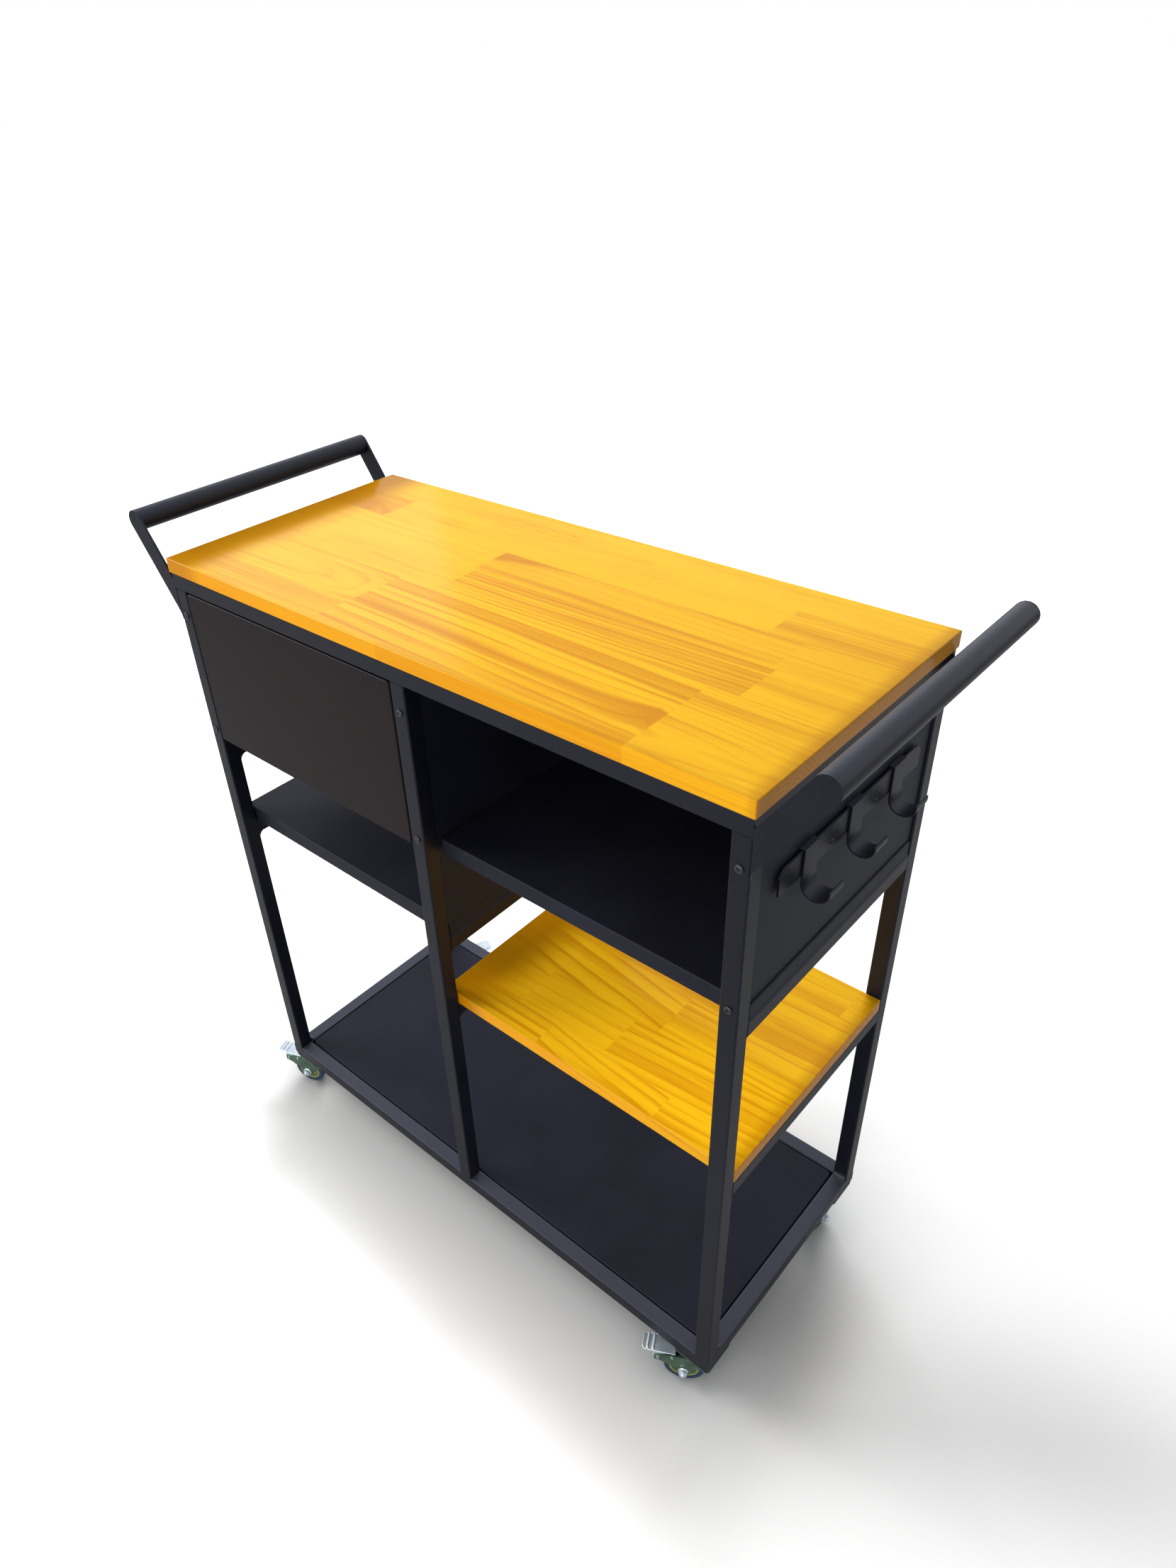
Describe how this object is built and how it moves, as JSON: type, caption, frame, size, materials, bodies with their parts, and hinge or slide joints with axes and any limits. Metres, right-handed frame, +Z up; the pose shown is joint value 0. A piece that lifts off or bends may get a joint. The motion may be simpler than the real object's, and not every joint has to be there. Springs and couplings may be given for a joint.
{
  "type": "kitchen cart",
  "caption": "Kitchen cart: dark square-tube frame on braked castors, wooden top and shelf, steel shelves, a drawer, push handles and a side strip of hooks.",
  "frame": {"origin": "on the floor, under the middle of the steel frame, midway between the four castor plates", "axes": "+X to the right along the cart, towards the end with the hooks; -Y to the front, where the drawer opens; +Z up"},
  "size_m": [0.931, 0.4126, 0.9545],
  "materials": {
    "frame_paint": "satin anthracite powder coat",
    "panel_paint": "satin anthracite powder coat",
    "drawer_paint": "satin dark brown powder coat",
    "wood": "oiled finger-jointed staves",
    "black_screw": "black",
    "zinc": "bright zinc plate",
    "fork_zinc": "zinc plate under a dark green passivation",
    "wheel_plastic": "moulded",
    "tyre_rubber": "moulded"
  },
  "bodies": {
    "cart": {"post_front_left": "frame_paint", "post_front_middle": "frame_paint", "post_front_right": "frame_paint", "posts_back": "frame_paint", "top_rail_front": "frame_paint", "top_rail_back": "frame_paint", "top_cross_rails": "frame_paint", "base_rail_front": "frame_paint", "base_rail_back": "frame_paint", "base_end_rails": "frame_paint", "panel_rails": "frame_paint", "left_shelf_rails": "frame_paint", "wood_shelf_rails": "frame_paint", "right_end_panel": "panel_paint", "left_end_panel": "panel_paint", "divider": "panel_paint", "back_panels": "panel_paint", "floor_tray": "panel_paint", "steel_shelf_right": "panel_paint", "steel_shelf_left": "panel_paint", "wood_top": "wood", "wood_shelf": "wood", "hook_strip": "frame_paint", "hooks": "frame_paint", "panel_screws": "black_screw", "wood_screws": "black_screw", "shelf_screws": "black_screw", "handle_arms": "frame_paint", "handle_bar_left": "frame_paint", "handle_bar_right": "frame_paint", "runner_outer": "zinc", "corner_plates": "frame_paint", "castor_plates": "zinc", "castor_screws": "zinc"},
    "drawer": {"drawer_front": "drawer_paint", "drawer_box": "panel_paint", "drawer_screws": "black_screw", "runner_inner": "zinc"},
    "runner_slide": {"runner_middle": "zinc"},
    "castor_front_left": {"fork_front_left": "fork_zinc", "axle_front_left": "zinc"},
    "wheel_front_left_body": {"wheel_front_left": "wheel_plastic", "tyre_front_left": "tyre_rubber"},
    "pedal_front_left_body": {"pedal_front_left": "zinc"},
    "castor_front_right": {"fork_front_right": "fork_zinc", "axle_front_right": "zinc"},
    "wheel_front_right_body": {"wheel_front_right": "wheel_plastic", "tyre_front_right": "tyre_rubber"},
    "pedal_front_right_body": {"pedal_front_right": "zinc"},
    "castor_back_left": {"fork_back_left": "fork_zinc", "axle_back_left": "zinc"},
    "wheel_back_left_body": {"wheel_back_left": "wheel_plastic", "tyre_back_left": "tyre_rubber"},
    "pedal_back_left_body": {"pedal_back_left": "zinc"},
    "castor_back_right": {"fork_back_right": "fork_zinc", "axle_back_right": "zinc"},
    "wheel_back_right_body": {"wheel_back_right": "wheel_plastic", "tyre_back_right": "tyre_rubber"},
    "pedal_back_right_body": {"pedal_back_right": "zinc"}
  },
  "joints": [
    {"name": "drawer_slide", "type": "slide", "parent": "cart", "child": "drawer", "axis": [0, -1, 0], "range_m": [0, 0.22]},
    {"name": "runner_slide_travel", "type": "slide", "parent": "cart", "child": "runner_slide", "axis": [0, -1, 0], "range_m": [0, 0.11]},
    {"name": "swivel_front_left", "type": "hinge", "parent": "cart", "child": "castor_front_left", "pos_m": [-0.373, -0.15, 0.058], "axis": [0, 0, 1], "continuous": true},
    {"name": "roll_front_left", "type": "hinge", "parent": "castor_front_left", "child": "wheel_front_left_body", "pos_m": [-0.39191, -0.15651, 0.025], "axis": [0.3256, -0.9455, 0], "continuous": true},
    {"name": "brake_front_left", "type": "hinge", "parent": "castor_front_left", "child": "pedal_front_left_body", "pos_m": [-0.42217, -0.16693, 0.045], "axis": [0.3256, -0.9455, 0], "range_deg": [0, 18]},
    {"name": "swivel_front_right", "type": "hinge", "parent": "cart", "child": "castor_front_right", "pos_m": [0.373, -0.15, 0.058], "axis": [0, 0, 1], "continuous": true},
    {"name": "roll_front_right", "type": "hinge", "parent": "castor_front_right", "child": "wheel_front_right_body", "pos_m": [0.35534, -0.15939, 0.025], "axis": [0.4695, -0.8829, 0], "continuous": true},
    {"name": "brake_front_right", "type": "hinge", "parent": "castor_front_right", "child": "pedal_front_right_body", "pos_m": [0.32709, -0.17441, 0.045], "axis": [0.4695, -0.8829, 0], "range_deg": [0, 18]},
    {"name": "swivel_back_left", "type": "hinge", "parent": "cart", "child": "castor_back_left", "pos_m": [-0.373, 0.15, 0.058], "axis": [0, 0, 1], "continuous": true},
    {"name": "roll_back_left", "type": "hinge", "parent": "castor_back_left", "child": "wheel_back_left_body", "pos_m": [-0.36486, 0.16827, 0.025], "axis": [-0.9135, 0.4067, 0], "continuous": true},
    {"name": "brake_back_left", "type": "hinge", "parent": "castor_back_left", "child": "pedal_back_left_body", "pos_m": [-0.35185, 0.1975, 0.045], "axis": [-0.9135, 0.4067, 0], "range_deg": [0, 18]},
    {"name": "swivel_back_right", "type": "hinge", "parent": "cart", "child": "castor_back_right", "pos_m": [0.373, 0.15, 0.058], "axis": [0, 0, 1], "continuous": true},
    {"name": "roll_back_right", "type": "hinge", "parent": "castor_back_right", "child": "wheel_back_right_body", "pos_m": [0.3723, 0.13001, 0.025], "axis": [0.9994, -0.0349, 0], "continuous": true},
    {"name": "brake_back_right", "type": "hinge", "parent": "castor_back_right", "child": "pedal_back_right_body", "pos_m": [0.37118, 0.09803, 0.045], "axis": [0.9994, -0.0349, 0], "range_deg": [0, 18]}
  ],
  "couplings": [
    {"joint": "runner_slide_travel", "follows": "drawer_slide", "ratio": 0.5}
  ]
}
